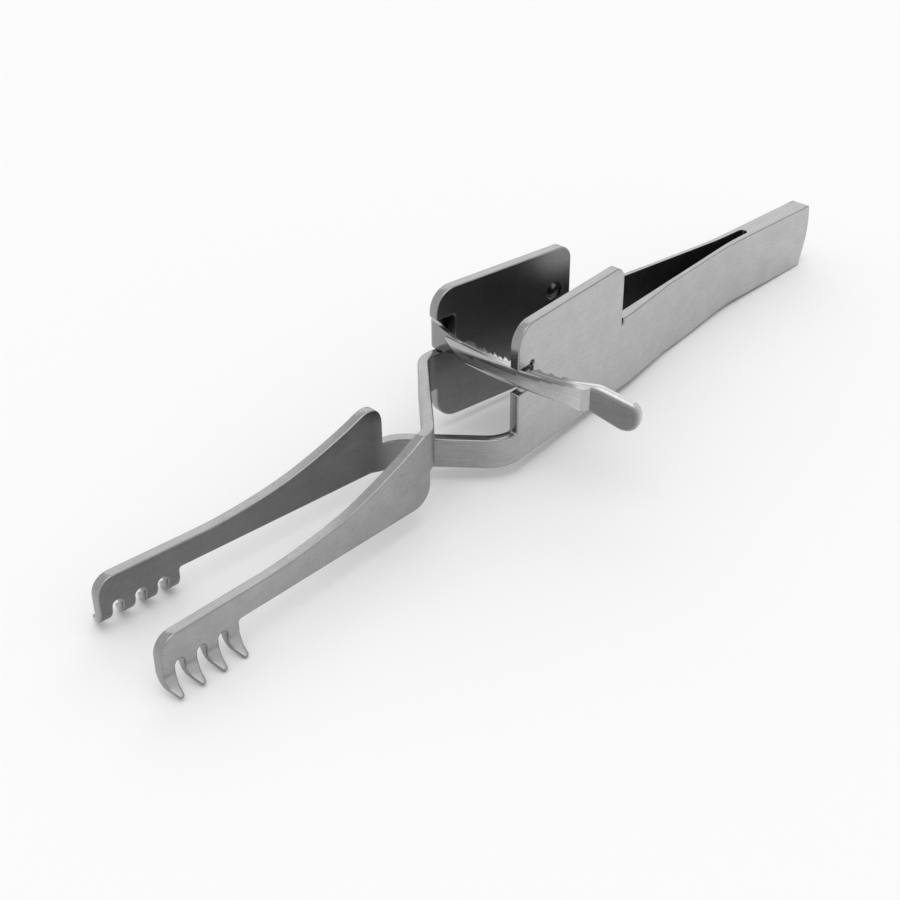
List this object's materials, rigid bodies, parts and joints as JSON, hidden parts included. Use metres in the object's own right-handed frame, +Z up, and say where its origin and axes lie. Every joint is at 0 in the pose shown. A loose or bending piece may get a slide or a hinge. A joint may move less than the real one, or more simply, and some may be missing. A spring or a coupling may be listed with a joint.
{
  "type": "self-retaining retractor",
  "caption": "Small crossed spring retractor with hooked prongs, tall finger plates and a toothed rack with a thumb paddle that holds the jaws apart.",
  "frame": {"origin": "bottom centre of the bounding box, on the surface that the prongs and the tail rest on", "axes": "+X from the jaws to the tail, +Y from the thumb paddle's side to the catch strip's side, +Z up"},
  "size_m": [0.1236, 0.03, 0.0197],
  "materials": {
    "leaf_steel": "satin",
    "spacer_steel": "satin",
    "strip_steel": "satin",
    "rack_steel": "polished",
    "rivet_steel": "polished"
  },
  "bodies": {
    "tail": {"near_leaf_end": "leaf_steel", "far_leaf_end": "leaf_steel", "tail_spacer": "spacer_steel"},
    "near": {"near_leaf": "leaf_steel"},
    "far": {"far_leaf": "leaf_steel", "catch_rivet": "rivet_steel"},
    "catch": {"catch_strip": "strip_steel", "rack": "rack_steel"}
  },
  "joints": [
    {"name": "near_squeeze", "type": "hinge", "parent": "tail", "child": "near", "pos_m": [0.04584, 0.00544, 0.00475], "axis": [-0.0356, 0, -0.9994], "range_deg": [-2.75, 3.67], "stiffness_Nm_per_rad": 0.8},
    {"name": "far_squeeze", "type": "hinge", "parent": "tail", "child": "far", "pos_m": [0.04584, 0.00757, 0.00475], "axis": [0.0356, 0, 0.9994], "range_deg": [-2.75, 3.67], "stiffness_Nm_per_rad": 0.8},
    {"name": "catch_release", "type": "hinge", "parent": "far", "child": "catch", "pos_m": [0.0111, 0.01205, 0.01299], "axis": [-0.0356, 0, -0.9994], "range_deg": [-1.5, 2], "stiffness_Nm_per_rad": 0.05}
  ],
  "couplings": [
    {"joint": "near_squeeze", "follows": "far_squeeze", "ratio": 1}
  ]
}
